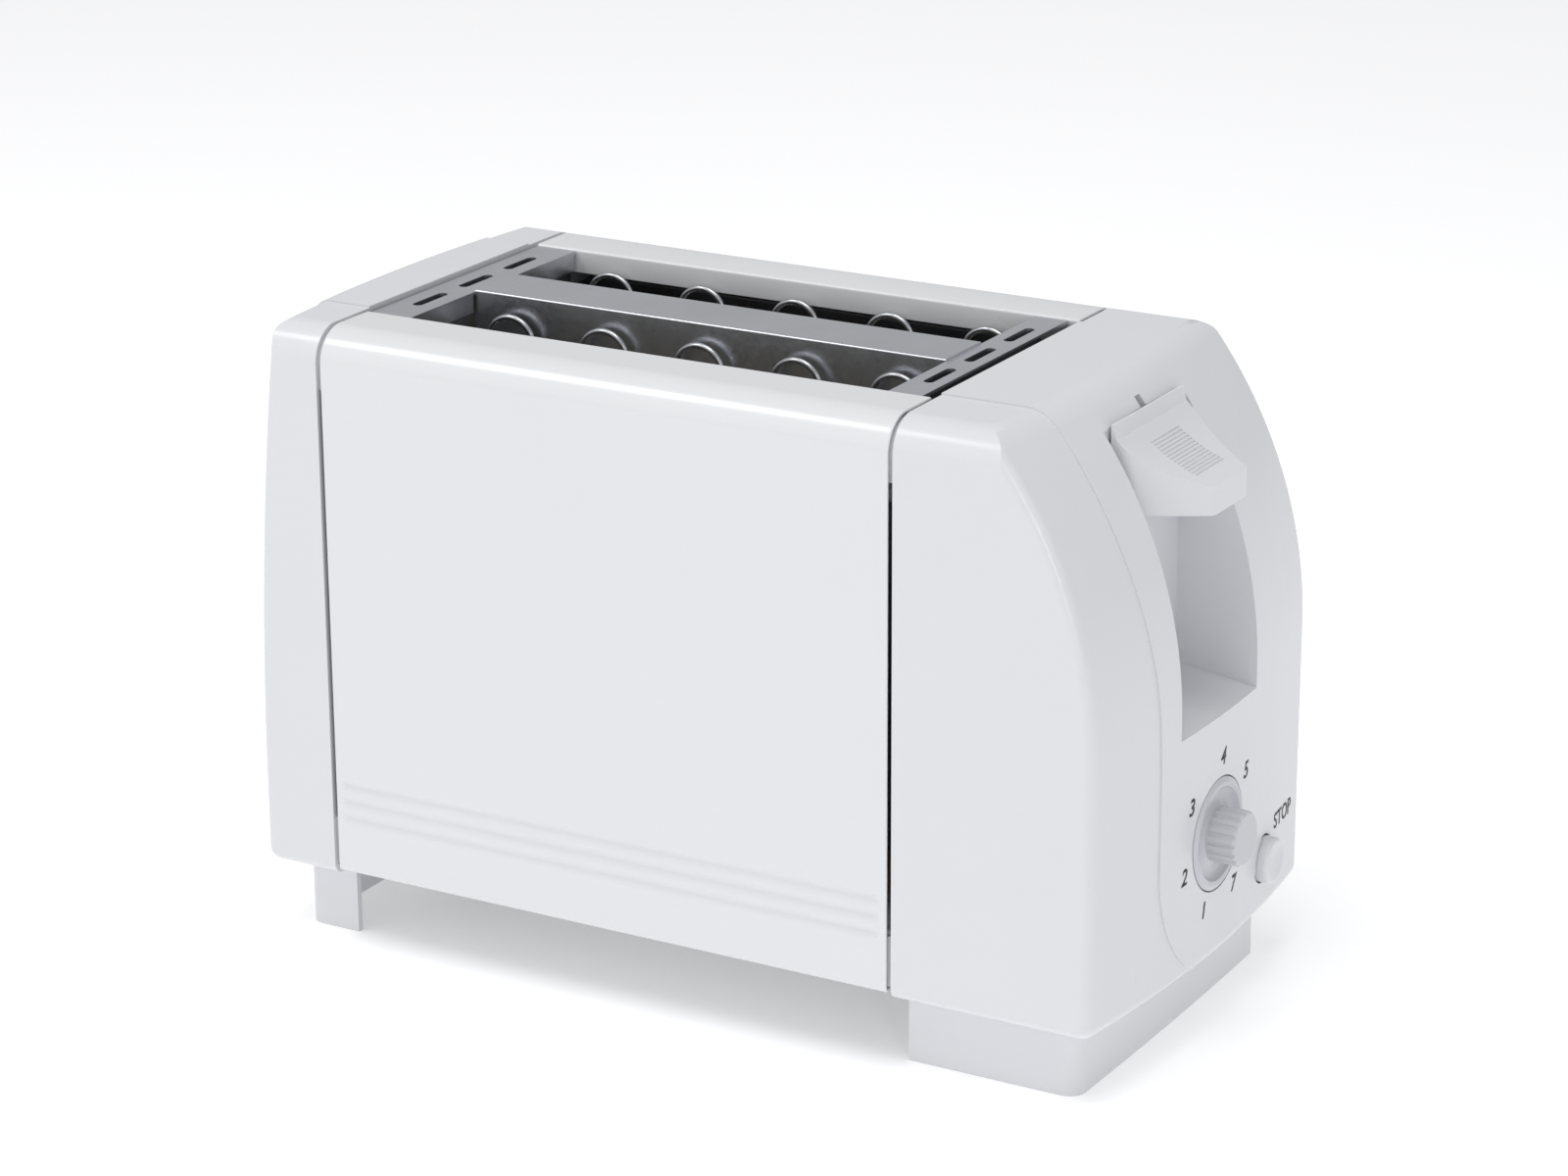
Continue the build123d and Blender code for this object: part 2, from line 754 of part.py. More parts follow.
for name, x in (("left", left_bulkhead_x), ("right", right_bulkhead_x)):
    with BuildPart() as bulkhead:
        with BuildSketch(across(x)):
            with Locations((0, (floor_top + shoulder_z) / 2)):
                Rectangle(2 * bulkhead_half, shoulder_z - floor_top)
            with Locations((0, (floor_top + plate_low) / 2)):
                Rectangle(2 * (opening_half - 1.0), plate_low - floor_top)
            with Locations(*[(side * slot_y, (blade_slot_low + blade_slot_high) / 2) for side in (-1, 1)]):
                SlotOverall(
                    blade_slot_high - blade_slot_low + blade_slot,
                    blade_slot,
                    rotation=90,
                    mode=Mode.SUBTRACT,
                )
            with Locations(*[(y, guard_rod_z) for y in guard_ys]):
                Circle(guard_rod + running, mode=Mode.SUBTRACT)
            with Locations(*cap_boss_points):
                Circle(screw_hole, mode=Mode.SUBTRACT)
            with Locations((0, 34.0)):
                SlotOverall(24.0, 7.0, mode=Mode.SUBTRACT)
        extrude(amount=frame_sheet)
    bulkhead.part.label = f"{name}_bulkhead"
    export_step(bulkhead.part, f"parts/{name}_bulkhead.step")

cap_screw_length = frame_sheet + 12.0
left_cap_plane = Plane(
    origin=(left_bulkhead_x + frame_sheet, 0, 0), x_dir=(0, -1, 0), z_dir=(-1, 0, 0)
)
left_cap_screws = screws(left_cap_plane, [(-y, z) for y, z in cap_boss_points], cap_screw_length)
left_cap_screws.label = "left_cap_screws"
export_step(left_cap_screws, "parts/left_cap_screws.step")

right_cap_screws = screws(across(right_bulkhead_x), cap_boss_points, cap_screw_length)
right_cap_screws.label = "right_cap_screws"
export_step(right_cap_screws, "parts/right_cap_screws.step")


# ================================================================ heat shields
frame_start = left_bulkhead_x + frame_sheet
frame_length = right_bulkhead_x - frame_start
shield_foot_gap = 3.0       # a shield stands clear of the bottom plate's rim

for name, side in (("front", -1), ("rear", 1)):
    with BuildPart() as shield:
        with BuildSketch(across(frame_start)):
            with Locations((side * shield_y, (floor_top + shoulder_z + shield_foot_gap) / 2)):
                Rectangle(shield_sheet, shoulder_z - floor_top - shield_foot_gap)
            with Locations((side * (shield_y - shield_flange / 2), shoulder_z - shield_sheet / 2)):
                Rectangle(shield_flange + shield_sheet, shield_sheet)
        extrude(amount=frame_length)
    shield.part.label = f"{name}_heat_shield"
    export_step(shield.part, f"parts/{name}_heat_shield.step")


# ================================================================ heater cards and windings
card_tab_z = [card_low + 8.0, card_high - 8.0]
card_tab_height = 8.0
card_margin = 2.0
ribbon_low = (card_low + card_high - ribbon_pitch * (ribbon_count - 1)) / 2
ribbon_levels = [ribbon_low + i * ribbon_pitch for i in range(ribbon_count)]
card_length = slot_length - 2 * card_margin

for name, y in (("front", -outer_card_y), ("centre", 0.0), ("rear", outer_card_y)):
    with BuildPart() as card:
        with BuildSketch(Plane.XZ.offset(-y - card_sheet / 2)):
            with Locations((slot_mid, (card_low + card_high) / 2)):
                Rectangle(card_length, card_high - card_low)
            with Locations(*[((frame_start + right_bulkhead_x) / 2, z) for z in card_tab_z]):
                Rectangle(frame_length, card_tab_height)
        extrude(amount=card_sheet)
    card.part.label = f"{name}_heater_card"
    export_step(card.part, f"parts/{name}_heater_card.step")

    with BuildPart() as winding:
        for z in ribbon_levels:
            with BuildSketch(Plane.XY.offset(z)):
                with Locations((slot_mid, y)):
                    Rectangle(card_length + 2 * ribbon_sheet, card_sheet + 2 * ribbon_sheet)
                    Rectangle(card_length, card_sheet, mode=Mode.SUBTRACT)
            extrude(amount=ribbon_height)
    winding.part.label = f"{name}_heater_ribbons"
    export_step(winding.part, f"parts/{name}_heater_ribbons.step")


# ================================================================ bread guards
hairpin_radius = 7.5
guard_pitch = (slot_length - 12.0 - 2 * hairpin_radius) / (hairpin_count - 1)
hairpin_xs = [slot_mid + (i - (hairpin_count - 1) / 2) * guard_pitch for i in range(hairpin_count)]
guard_names = ["rear_inner_guard", "rear_outer_guard", "front_inner_guard", "front_outer_guard"]

for name, y in zip(guard_names, guard_ys):
    with BuildPart() as guard:
        with BuildSketch(across(left_bulkhead_x + 0.1)):
            with Locations((y, guard_rod_z)):
                Circle(guard_rod)
        extrude(amount=right_bulkhead_x + frame_sheet - left_bulkhead_x - 0.2)
        for level in (guard_rod_z + 45.0, guard_rod_z + 95.0):
            with BuildSketch(across(slot_left + 4.0)):
                with Locations((y, level)):
                    Circle(guard_wire)
            extrude(amount=slot_length - 8.0)
        for x in hairpin_xs:
            with BuildLine() as hairpin:
                bend_z = guard_top - hairpin_radius
                up = Line((x - hairpin_radius, y, guard_rod_z), (x - hairpin_radius, y, bend_z))
                over = ThreePointArc(up @ 1, (x, y, guard_top), (x + hairpin_radius, y, bend_z))
                Line(over @ 1, (x + hairpin_radius, y, guard_rod_z))
            with BuildSketch(Plane(origin=up @ 0, z_dir=(0, 0, 1))):
                Circle(guard_wire)
            sweep(path=hairpin.line)
    guard.part.label = name
    export_step(guard.part, f"parts/{name}.step")


# ================================================================ carriage and bread racks
rack_length = carriage_x - left_bulkhead_x + 3.0
bar_width = 3.0
bar_pitch = (slot_length - 16.0) / (rack_bar_count - 1)

for name, side in (("front", -1), ("rear", 1)):
    y = side * slot_y
    with BuildPart() as rack:
        with BuildSketch(Plane.XZ.offset(-y - rack_sheet / 2)):
            with Locations((carriage_x - rack_length / 2, rack_z + rack_depth / 2)):
                Rectangle(rack_length, rack_depth)
        extrude(amount=rack_sheet)
        with BuildSketch(Plane.XY.offset(rack_z + rack_depth - rack_sheet)):
            with Locations((slot_mid, y)):
                with GridLocations(bar_pitch, 0, rack_bar_count, 1):
                    Rectangle(bar_width, rack_bar_length)
        extrude(amount=rack_sheet)
    rack.part.label = f"{name}_bread_rack"
    export_step(rack.part, f"parts/{name}_bread_rack.step")

carriage_end = carriage_x + carriage_sheet
arm_step_z = 156.0
arm_top = arm_step_z + 6.0
arm_tip = recess_back + knob_gap + 9.0
catch_y = -14.0
catch_x = rod_x
catch_half = 7.0
catch_sheet = 2.0
bush_low = carriage_high - bush_height

with BuildPart() as carriage:
    with BuildSketch(across(carriage_x)):
        with Locations((0, (carriage_low + carriage_high) / 2)):
            Rectangle(2 * slot_y + 8.0, carriage_high - carriage_low)
        for y in (-slot_y / 2 - 4.0, slot_y / 2 + 4.0):
            with Locations((y, (carriage_low + carriage_high) / 2)):
                SlotOverall(9.0, 5.0, mode=Mode.SUBTRACT)
    extrude(amount=carriage_sheet)
    with BuildSketch(Plane.XY.offset(bush_low)):
        with Locations((rod_x, rod_y)):
            Circle(bush_radius)
        with Locations(((carriage_x + rod_x) / 2, rod_y)):
            Rectangle(rod_x - carriage_x, 4.0)
    extrude(amount=bush_height)
    with BuildSketch(Plane.XY.offset(bush_low)):
        with Locations((rod_x, rod_y)):
            Circle(rod_radius + running)
    extrude(amount=bush_height, mode=Mode.SUBTRACT)
    with BuildSketch(Plane.XY.offset(carriage_low)):
        with Locations(((carriage_x + catch_x) / 2 + 1.0, catch_y)):
            Rectangle(catch_x - carriage_x + 2.0, 2 * catch_half - 4.0)
    extrude(amount=carriage_sheet)
carriage.part.label = "carriage"
export_step(carriage.part, "parts/carriage.step")

with BuildPart() as lever_arm:
    with BuildSketch(Plane.XZ.offset(-arm_sheet / 2)):
        with BuildLine():
            Polyline(
                (carriage_end, carriage_low + 6.0),
                (arm_x + arm_width, carriage_low + 6.0),
                (arm_x + arm_width, arm_step_z),
                (arm_tip, arm_step_z),
                (arm_tip, arm_top),
                (arm_x, arm_top),
                (arm_x, carriage_high),
                (carriage_end, carriage_high),
                close=True,
            )
        make_face()
    extrude(amount=arm_sheet)
    elbows = lever_arm.edges().filter_by(Axis.Y).sort_by_distance((arm_x, 0, carriage_high))
    fillet(elbows[0], 4.0)
lever_arm.part.label = "lever_arm"
export_step(lever_arm.part, "parts/lever_arm.step")

with BuildPart() as catch_plate:
    with BuildSketch(Plane.XY.offset(carriage_low - catch_sheet)):
        with Locations((catch_x + 1.0, catch_y)):
            RectangleRounded(2 * catch_half, 2 * catch_half, 1.5)
    extrude(amount=catch_sheet)
catch_plate.part.label = "catch_plate"
export_step(catch_plate.part, "parts/catch_plate.step")


# ================================================================ lever knob
knob_back = recess_back + knob_gap
knob_nose = knob_back + knob_depth
shoulder_depth = 5.0
shoulder_round = 8.0
groove_count = 14
grip_radius = 0.35
grip_half = 8.5

slope = ThreePointArc(
    (knob_back + 1.6, knob_high - 3.9),
    (knob_back + 10.4, knob_high - 10.6),
    (knob_nose, knob_nose_z),
)
with BuildPart() as knob:
    with BuildSketch(Plane.XY.offset(knob_low)) as knob_plan:
        with BuildLine():
            shoulder = knob_back + shoulder_depth
            Polyline(
                (knob_back, -knob_back_half),
                (shoulder, -knob_back_half),
                (knob_nose, -knob_nose_half),
                (knob_nose, knob_nose_half),
                (shoulder, knob_back_half),
                (knob_back, knob_back_half),
                close=True,
            )
        make_face()
        shoulders = knob_plan.vertices().group_by(Axis.X)[1]
        fillet(shoulders, shoulder_round)
        fillet(knob_plan.vertices().group_by(Axis.X)[-1], 3.0)
    extrude(amount=knob_high - knob_low)
    with BuildSketch(Plane.XZ.offset(-knob_back_half - 1)):
        with BuildLine():
            Polyline(
                (knob_back, knob_low),
                (knob_nose, knob_low),
                (knob_nose, knob_nose_z),
            )
            add(slope)
            Polyline(
                slope @ 0,
                (knob_back + 0.6, knob_high),
                (knob_back, knob_high),
                (knob_back, knob_low),
            )
        make_face()
    extrude(amount=2 * knob_back_half + 2, mode=Mode.INTERSECT)
    with BuildSketch(Plane.XZ.offset(-grip_half)):
        for i in range(groove_count):
            spot = slope @ (0.2 + 0.55 * i / (groove_count - 1))
            with Locations((spot.X, spot.Y)):
                Circle(grip_radius)
    extrude(amount=2 * grip_half, mode=Mode.SUBTRACT)
    with BuildSketch(across(knob_back)):
        with Locations((0, (arm_step_z + arm_top) / 2)):
            Rectangle(arm_sheet, arm_top - arm_step_z)
    extrude(amount=arm_tip - knob_back, mode=Mode.SUBTRACT)
knob.part.label = "lever_knob"
export_step(knob.part, "parts/lever_knob.step")


# ================================================================ lift frame, rod, spring and magnet
shelf_left = right_bulkhead_x + frame_sheet
shelf_right = rod_x + 20.0
lift_half = 22.0
stop_shelf_right = rod_x + 10.0
stop_shelf_low = carriage_high + 0.5
magnet_x = catch_x + 1.0
core_radius = 4.0
coil_radius = 7.5
catch_gap = 0.5
core_top = carriage_low - catch_sheet - lever_travel - catch_gap

with BuildPart() as lift_frame:
    with BuildSketch(Plane.XZ.offset(-lift_half)):
        with BuildLine():
            Polyline(
                (shelf_left, shelf_low),
                (shelf_right, shelf_low),
                (shelf_right, shelf_low + shelf_sheet),
                (shelf_left + shelf_sheet, shelf_low + shelf_sheet),
                (shelf_left + shelf_sheet, stop_shelf_low),
                (stop_shelf_right, stop_shelf_low),
                (stop_shelf_right, stop_shelf_low + shelf_sheet),
                (shelf_left, stop_shelf_low + shelf_sheet),
                close=True,
            )
        make_face()
    extrude(amount=2 * lift_half)
    with Locations((rod_x, rod_y, stop_shelf_low + shelf_sheet)):
        Hole(rod_radius + ear_fit)
    with Locations((magnet_x, catch_y, shelf_low + shelf_sheet)):
        Hole(screw_hole)
    with BuildSketch(across(shelf_left)):
        with Locations((0, (shelf_low + stop_shelf_low) / 2 + 4)):
            SlotOverall(60.0, 16.0, rotation=90)
    extrude(amount=shelf_sheet, mode=Mode.SUBTRACT)
lift_frame.part.label = "lift_frame"
export_step(lift_frame.part, "parts/lift_frame.step")

with BuildPart() as guide_rod:
    with BuildSketch(Plane.XY.offset(shelf_low)):
        with Locations((rod_x, rod_y)):
            Circle(rod_radius)
    extrude(amount=stop_shelf_low + shelf_sheet + 2.0 - shelf_low)
    chamfer(guide_rod.edges().group_by(Axis.Z)[-1], 0.5)
guide_rod.part.label = "guide_rod"
export_step(guide_rod.part, "parts/guide_rod.step")

spring_low = shelf_low + shelf_sheet + spring_wire
spring_high = bush_low - spring_wire
spring_pitch = (spring_high - spring_low) / spring_turns

with BuildPart() as lift_spring:
    with BuildLine() as spring_line:
        Helix(
            pitch=spring_pitch,
            height=spring_high - spring_low,
            radius=spring_radius,
            center=(rod_x, rod_y, spring_low),
        )
    with BuildSketch(Plane(spring_line.line @ 0, z_dir=spring_line.line % 0)):
        Circle(spring_wire)
    sweep(path=spring_line.line, is_frenet=True)
lift_spring.part.label = "lift_spring"
export_step(lift_spring.part, "parts/lift_spring.step")

magnet_low = shelf_low + shelf_sheet
bobbin_flange = 1.0
bobbin_top = core_top - 1.5
winding_radius = coil_radius - 1.2
with BuildPart() as magnet_core:
    with BuildSketch(Plane.XY.offset(magnet_low)):
        with Locations((magnet_x, catch_y)):
            Circle(core_radius)
    extrude(amount=core_top - magnet_low)
    chamfer(magnet_core.edges().group_by(Axis.Z)[-1], 0.4)
magnet_core.part.label = "magnet_core"
export_step(magnet_core.part, "parts/magnet_core.step")

with BuildPart() as magnet_coil:
    with BuildSketch(Plane.XZ.offset(-catch_y)):
        with BuildLine():
            Polyline(
                (magnet_x + core_radius, magnet_low),
                (magnet_x + coil_radius, magnet_low),
                (magnet_x + coil_radius, magnet_low + bobbin_flange),
                (magnet_x + winding_radius, magnet_low + bobbin_flange),
                (magnet_x + winding_radius, bobbin_top - bobbin_flange),
                (magnet_x + coil_radius, bobbin_top - bobbin_flange),
                (magnet_x + coil_radius, bobbin_top),
                (magnet_x + core_radius, bobbin_top),
                close=True,
            )
        make_face()
    revolve(axis=Axis((magnet_x, catch_y, 0), (0, 0, 1)))
magnet_coil.part.label = "magnet_coil"
export_step(magnet_coil.part, "parts/magnet_coil.step")


# ================================================================ control board
with BuildPart() as board:
    with BuildSketch(across(board_x)):
        with Locations((0, (board_low + board_high) / 2)):
            RectangleRounded(2 * board_half, board_high - board_low, 2.0)
        with Locations(*board_posts):
            Circle(screw_hole, mode=Mode.SUBTRACT)
    extrude(amount=board_sheet)
board.part.label = "control_board"
export_step(board.part, "parts/control_board.step")

board_back = Plane(origin=(board_x, 0, 0), x_dir=(0, 1, 0), z_dir=(1, 0, 0))
board_screws = screws(board_back, board_posts, board_sheet + 6.0)
board_screws.label = "board_screws"
export_step(board_screws, "parts/board_screws.step")

pot_radius = 8.5
pot_depth = 7.5
shaft_radius = 3.0
with BuildPart() as potentiometer:
    with BuildSketch(across(board_face)):
        with Locations((0, dial_z)):
            Circle(pot_radius)
    extrude(amount=pot_depth)
    fillet(potentiometer.edges().group_by(Axis.X)[-1], 0.8)
    with BuildSketch(across(board_face + 1.0)):
        with Locations((0, dial_z)):
            Circle(shaft_radius + running)
    extrude(amount=pot_depth, mode=Mode.SUBTRACT)
    with BuildSketch(across(board_face)):
        with Locations((0, dial_z - pot_radius - 1.0)):
            Rectangle(12.0, 4.0)
    extrude(amount=2.0)
potentiometer.part.label = "potentiometer"
export_step(potentiometer.part, "parts/potentiometer.step")

# Each chip: y, z, width, height and how far it stands off the board.
chip_places = [
    (-28.0, 60.0, 9.0, 20.0, 3.5),
    (26.0, 58.0, 7.0, 7.0, 2.0),
    (-24.0, 40.0, 12.0, 6.0, 5.0),
]
can_places = [(-14.0, 76.0, 4.0, 12.0), (14.0, 76.0, 4.0, 12.0)]
resistor_zs = [66.0, 70.5, 75.0]
with BuildPart() as board_parts:
    for y, z, wide, high, deep in chip_places:
        with BuildSketch(across(board_face)):
            with Locations((y, z)):
                Rectangle(wide, high)
        extrude(amount=deep)
    for y, z, radius, deep in can_places:
        with BuildSketch(across(board_face)):
            with Locations((y, z)):
                Circle(radius)
        extrude(amount=deep)
    for z in resistor_zs:
        with BuildSketch(Plane.XZ.offset(-34.0)):
            with Locations((board_face + 1.2, z)):
                Circle(1.2)
        extrude(amount=9.0)
board_parts.part.label = "board_components"
export_step(board_parts.part, "parts/board_components.step")


# ================================================================ browning dial
dial_back = board_face + pot_depth + 1.5
dial_wall = right_face - band_step - cap_wall
dial_tip = right_face + dial_stand_out

with BuildPart() as dial:
    with BuildSketch(Plane.XZ):
        with BuildLine():
            rim = (right_face + 0.6, dial_z + dial_disc - 1.4)
            dish = ThreePointArc(
                (right_face + 0.4, dial_z + dial_disc - 2.6),
                (right_face - 1.2, dial_z + 11.0),
                (right_face - 1.0, dial_z + dial_knob + 1.2),
            )
            Polyline(
                (dial_back, dial_z),
                (dial_back, dial_z + 6.0),
                (dial_wall + 0.4, dial_z + 6.0),
                (dial_wall + 0.4, dial_z + dial_disc),
                (right_face - 0.1, dial_z + dial_disc),
                rim,
                dish @ 0,
            )
            Polyline(
                dish @ 1,
                (right_face - 0.4, dial_z + dial_knob),
                (dial_tip - 0.7, dial_z + dial_knob),
                (dial_tip, dial_z + dial_knob - 0.7),
                (dial_tip, dial_z),
                (dial_back, dial_z),
            )
        make_face()
    revolve(axis=Axis((0, 0, dial_z), (1, 0, 0)))
    with BuildSketch(across(right_face + 0.3)):
        with Locations((0, dial_z)):
            with PolarLocations(dial_knob + 0.35, flute_count):
                Circle(0.8)
    extrude(amount=dial_stand_out, mode=Mode.SUBTRACT)
    with BuildSketch(across(dial_back)):
        with Locations((0, dial_z)):
            Circle(shaft_radius)
    extrude(amount=8.0, mode=Mode.SUBTRACT)
dial.part.label = "browning_dial"
export_step(dial.part, "parts/browning_dial.step")

with BuildPart() as dial_shaft:
    with BuildSketch(across(board_face + 1.5)):
        with Locations((0, dial_z)):
            Circle(shaft_radius)
    extrude(amount=dial_back + 8.0 - board_face - 1.5)
dial_shaft.part.label = "dial_shaft"
export_step(dial_shaft.part, "parts/dial_shaft.step")


# ================================================================ stop button and switches
stop_surface = right_face - band_step - bow(right_end, stop_y)
stop_face = stop_surface + stop_stand_out
stop_flange = stop_surface - cap_wall - 1.5
switch_depth = 3.8
plunger_depth = 1.0
stem_end = board_face + switch_depth + plunger_depth + stop_travel + 0.1
bowl_half = stop_radius - 1.4
bowl_depth = 0.8
bowl_low = stop_face - 0.1 - bowl_depth
bowl_radius = (bowl_half**2 + bowl_depth**2) / (2 * bowl_depth)
bowl_sweep = math.degrees(math.asin(bowl_half / bowl_radius))

with BuildPart() as stop_button:
    with BuildSketch(Plane.XZ.offset(-stop_y)):
        with BuildLine():
            bowl_centre = (bowl_low + bowl_radius, stop_z)
            bowl = CenterArc(bowl_centre, bowl_radius, 180 - bowl_sweep, bowl_sweep)
            lip = ThreePointArc(
                (stop_face - 1.3, stop_z + stop_radius),
                (stop_face - 0.35, stop_z + stop_radius - 0.4),
                bowl @ 0,
            )
            Polyline(
                bowl @ 1,
                (stem_end, stop_z),
                (stem_end, stop_z + 2.5),
                (stop_flange - 1.5, stop_z + 2.5),
                (stop_flange - 1.5, stop_z + stop_radius + 1.6),
                (stop_flange, stop_z + stop_radius + 1.6),
                (stop_flange, stop_z + stop_radius),
                lip @ 0,
            )
        make_face()
    revolve(axis=Axis((0, stop_y, stop_z), (1, 0, 0)))
stop_button.part.label = "stop_button"
export_step(stop_button.part, "parts/stop_button.step")

with BuildPart() as stop_switch:
    with BuildSketch(across(board_face)):
        with Locations((stop_y, stop_z)):
            Rectangle(6.2, 6.2)
    extrude(amount=switch_depth)
    with BuildSketch(across(board_face + switch_depth)):
        with Locations((stop_y, stop_z)):
            Circle(1.7)
    extrude(amount=plunger_depth)
stop_switch.part.label = "stop_switch"
export_step(stop_switch.part, "parts/stop_switch.step")

pusher_low = carriage_low + 4.0
pusher_y = 5.0
leaf_z = pusher_low - lever_travel - 1.0
pusher_x = arm_x + arm_width - 4.0
with BuildPart() as contact_pusher:
    with BuildSketch(Plane.XY.offset(pusher_low)):
        with Locations((pusher_x, arm_sheet / 2 + pusher_y / 2)):
            Rectangle(7.0, pusher_y)
    extrude(amount=8.0)
    fillet(contact_pusher.edges().filter_by(Axis.Z), 0.8)
contact_pusher.part.label = "contact_pusher"
export_step(contact_pusher.part, "parts/contact_pusher.step")

block_y = 10.0
block_low = 30.0
leaf_sheet = 0.4
leaf_pitch = 1.6
leaf_width = 4.0
leaf_x = board_x - 7.0
with BuildPart() as contact_block:
    with BuildSketch(Plane.XY.offset(block_low)):
        with Locations((board_x - 5.0, block_y)):
            RectangleRounded(10.0, 8.0, 0.8)
    extrude(amount=leaf_z - leaf_pitch - block_low)
contact_block.part.label = "contact_block"
export_step(contact_block.part, "parts/contact_block.step")

with BuildPart() as contact_leaves:
    for level in (leaf_z - leaf_pitch, leaf_z - leaf_sheet):
        with BuildSketch(Plane.XY.offset(level)):
            with Locations((leaf_x, (block_y + leaf_width / 2 + arm_sheet) / 2)):
                Rectangle(leaf_width, block_y + leaf_width / 2 - arm_sheet)
        extrude(amount=leaf_sheet)
    with BuildSketch(Plane.XY.offset(leaf_z - leaf_pitch + leaf_sheet)):
        with Locations((leaf_x, block_y)):
            Rectangle(leaf_width, leaf_width)
    extrude(amount=leaf_pitch - 2 * leaf_sheet)
contact_leaves.part.label = "contact_leaves"
export_step(contact_leaves.part, "parts/contact_leaves.step")


# ================================================================ cord gland
gland_radius = 8.2
gland_lip = 1.3
gland_tail = 3.0
gland_edge = 0.8
gland_slack = 0.05
gland_outside = left_face + band_step + bow(left_end, gland_y - gland_radius) - gland_slack
gland_inside = left_face + band_step + bow(left_end, gland_y + gland_radius) + cap_wall + gland_slack

with BuildPart() as gland:
    with BuildSketch(Plane.XZ.offset(-gland_y)):
        with BuildLine():
            Polyline(
                (gland_outside - gland_lip, gland_z + gland_bore),
                (gland_outside - gland_lip, gland_z + gland_radius - gland_edge),
                (gland_outside - gland_lip / 2, gland_z + gland_radius),
                (gland_outside, gland_z + gland_radius),
                (gland_outside, gland_z + gland_neck),
                (gland_inside, gland_z + gland_neck),
                (gland_inside, gland_z + gland_radius - gland_edge),
                (gland_inside + gland_tail, gland_z + gland_radius - gland_edge),
                (gland_inside + gland_tail, gland_z + gland_bore),
                close=True,
            )
        make_face()
    revolve(axis=Axis((0, gland_y, gland_z), (1, 0, 0)))
gland.part.label = "cord_gland"
export_step(gland.part, "parts/cord_gland.step")
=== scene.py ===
import json
import math
import bpy
import bmesh
from mathutils import Matrix, Vector


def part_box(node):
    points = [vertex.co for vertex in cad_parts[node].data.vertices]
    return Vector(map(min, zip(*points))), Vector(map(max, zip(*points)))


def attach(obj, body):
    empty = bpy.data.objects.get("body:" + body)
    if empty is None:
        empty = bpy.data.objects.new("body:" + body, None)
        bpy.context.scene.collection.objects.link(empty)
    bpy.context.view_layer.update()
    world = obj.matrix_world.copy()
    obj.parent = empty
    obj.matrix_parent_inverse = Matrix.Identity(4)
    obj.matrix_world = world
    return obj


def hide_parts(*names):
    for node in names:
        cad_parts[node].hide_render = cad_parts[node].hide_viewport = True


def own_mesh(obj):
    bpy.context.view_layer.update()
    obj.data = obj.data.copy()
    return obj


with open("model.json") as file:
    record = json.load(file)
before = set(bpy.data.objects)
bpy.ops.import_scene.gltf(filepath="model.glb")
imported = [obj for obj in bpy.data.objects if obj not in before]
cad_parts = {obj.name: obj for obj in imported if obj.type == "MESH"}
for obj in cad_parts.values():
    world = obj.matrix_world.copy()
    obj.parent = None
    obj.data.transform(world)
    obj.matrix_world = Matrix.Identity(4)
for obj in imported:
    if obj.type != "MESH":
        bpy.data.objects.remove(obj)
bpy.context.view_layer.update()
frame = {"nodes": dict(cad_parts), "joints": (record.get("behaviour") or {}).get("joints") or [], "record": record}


# ---------------------------------------------------------------- camera
# A long lens, a little above the toaster and to the right of its front panel, aimed at the middle
# of the body.
view_azimuth = math.radians(29.835)
view_elevation = math.radians(18.669)
view_roll = math.radians(-0.251)
view_distance = 1.2293
aim = Vector((-0.00058, 0.0, 0.10514))
back = Vector((
    math.sin(view_azimuth) * math.cos(view_elevation),
    -math.cos(view_azimuth) * math.cos(view_elevation),
    math.sin(view_elevation),
))
camera_data = bpy.data.cameras.new("camera")
camera_data.lens = 101.12
camera_data.sensor_width = 36.0
camera_data.shift_x = -0.0035
camera_data.shift_y = 0.0009
camera_data.clip_start = 0.05
camera = bpy.data.objects.new("camera", camera_data)
bpy.context.scene.collection.objects.link(camera)
facing = (-back).to_track_quat("-Z", "Y").to_matrix().to_4x4()
standing = Matrix.Translation(aim + back * view_distance)
camera.matrix_world = standing @ facing @ Matrix.Rotation(view_roll, 4, "Z")
bpy.context.scene.camera = camera


# ---------------------------------------------------------------- light and floor
# A white sweep under soft lamps: wide ones in front and above, and a tall strip and a small lamp that
# draw the bright lines along the rounded edges.
bpy.context.scene.view_settings.view_transform = "Standard"
world = bpy.data.worlds.new("studio")
world.use_nodes = True
sky = world.node_tree.nodes["Background"]
sky.inputs["Color"].default_value = (0.985, 0.99, 1.0, 1)
sky.inputs["Strength"].default_value = 0.50
bpy.context.scene.world = world

for name, place, target, width, height, power in (
    ("key", (-1.1, -1.5, 0.9), (0, 0, 0.09), 1.4, 1.4, 2.4),
    ("top", (0.1, -0.3, 1.8), (0, 0, 0.1), 1.0, 1.0, 10.5),
    ("side", (1.7, -0.35, 0.9), (0.1, 0, 0.1), 0.6, 0.6, 0.6),
    ("edge", (1.3, -1.4, 0.62), (0.1, 0, 0.1), 0.13, 1.1, 3.8),
    ("bend", (-0.92, -0.75, 1.5), (0, 0, 0.18), 0.5, 0.5, 5.5),
):
    lamp_data = bpy.data.lights.new(name, "AREA")
    lamp_data.shape = "ELLIPSE"
    lamp_data.size = width
    lamp_data.size_y = height
    lamp_data.energy = power
    lamp = bpy.data.objects.new(name, lamp_data)
    bpy.context.scene.collection.objects.link(lamp)
    lamp.location = place
    lamp.rotation_euler = (Vector(target) - Vector(place)).to_track_quat("-Z", "Y").to_euler()

floor_width = 60.0
bpy.ops.mesh.primitive_plane_add(size=floor_width, location=(0, 0, 0))
floor = bpy.context.object
floor.name = "floor"


